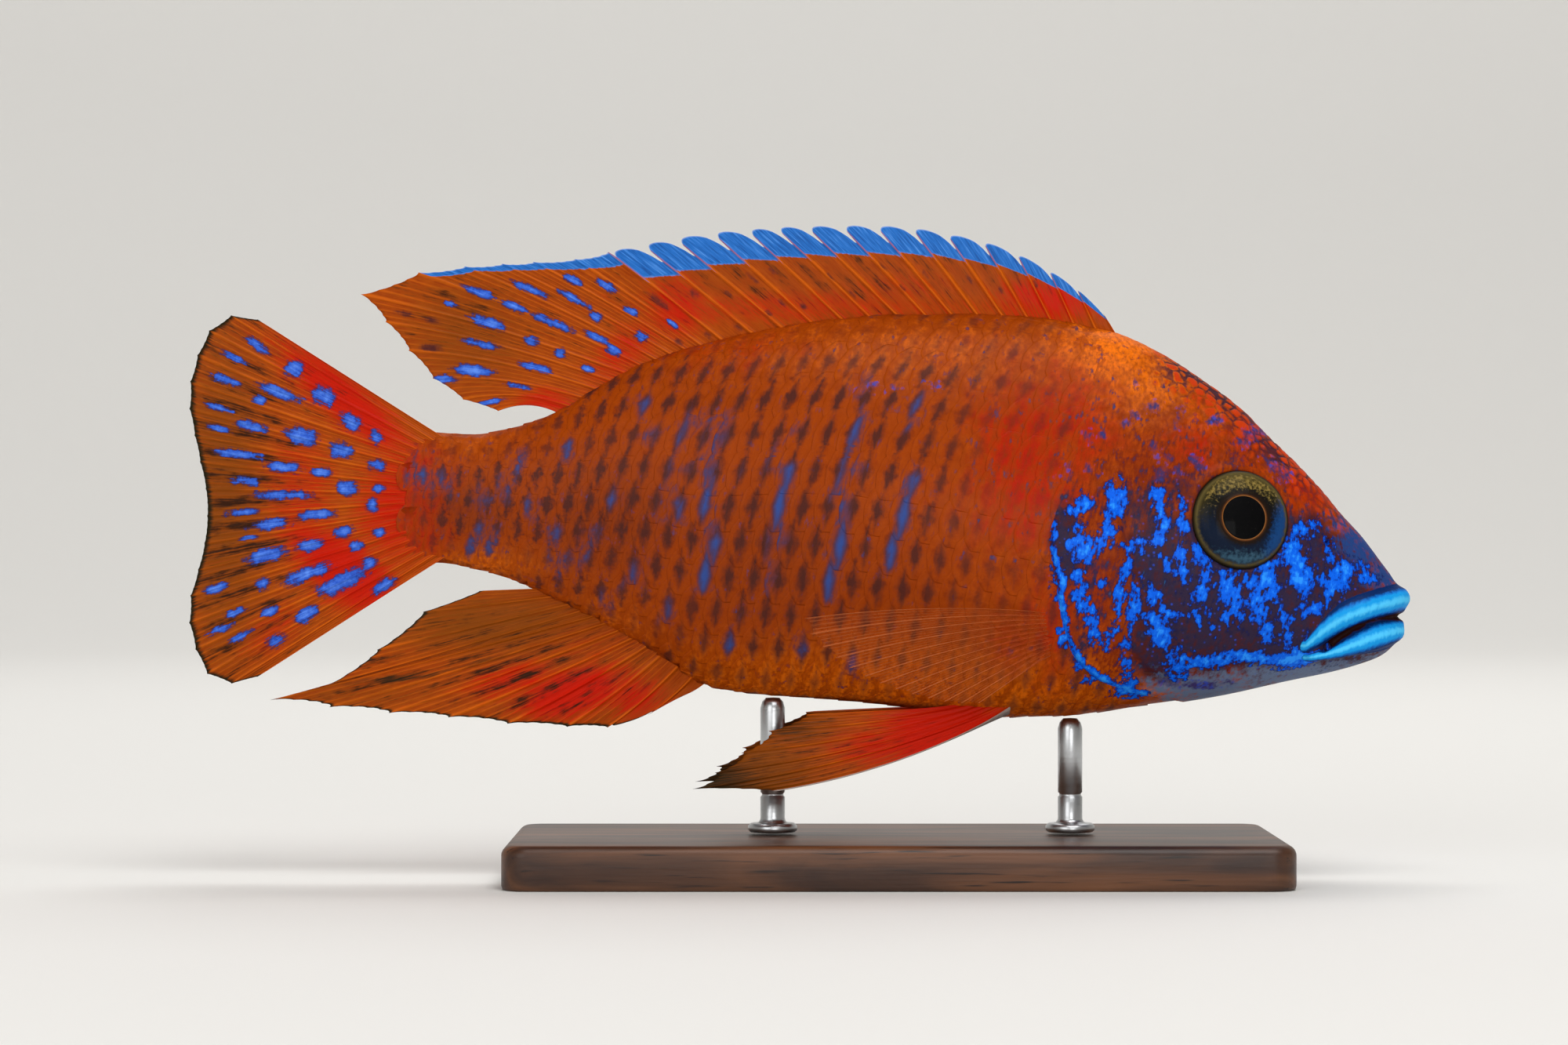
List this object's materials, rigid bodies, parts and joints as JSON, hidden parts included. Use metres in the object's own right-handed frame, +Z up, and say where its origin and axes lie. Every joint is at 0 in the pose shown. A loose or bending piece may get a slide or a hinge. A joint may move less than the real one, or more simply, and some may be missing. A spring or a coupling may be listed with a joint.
{
  "type": "peacock cichlid on a display stand",
  "caption": "Life-size still model of an adult male peacock cichlid with raised ribbed fins, held over a flat round-ended base by short rods.",
  "frame": {"origin": "centre of the model's box at floor level, under the base", "axes": "+X to the fish's lips, +Y to the fish's left, +Z up"},
  "size_m": [0.1399, 0.038, 0.0748],
  "materials": {
    "skin": "wet scaled skin, orange-red with violet spots and blue bars",
    "face_skin": "wet skin, red-brown with bright blue mottling",
    "lips": "wet smooth skin, bright blue",
    "eyes": "clear cornea over a dark gold-rimmed iris",
    "fin_skin": "thin ribbed membrane, orange with blue spots",
    "base_wood": "dark walnut, satin lacquer",
    "rod_steel": "brushed stainless steel"
  },
  "bodies": {
    "root": {"head": "face_skin", "lower_jaw": "lips", "gill_cover_left": "face_skin", "gill_cover_right": "face_skin", "eye_left": "eyes", "eye_right": "eyes", "trunk": "skin", "tail_stalk": "skin", "dorsal_fin": "fin_skin", "anal_fin": "fin_skin", "caudal_fin": "fin_skin", "pelvic_fin_left": "fin_skin", "pelvic_fin_right": "fin_skin", "pectoral_fin_left": "fin_skin", "pectoral_fin_right": "fin_skin", "stand_base": "base_wood", "stand_rod_front": "rod_steel", "stand_rod_rear": "rod_steel"}
  },
  "joints": []
}
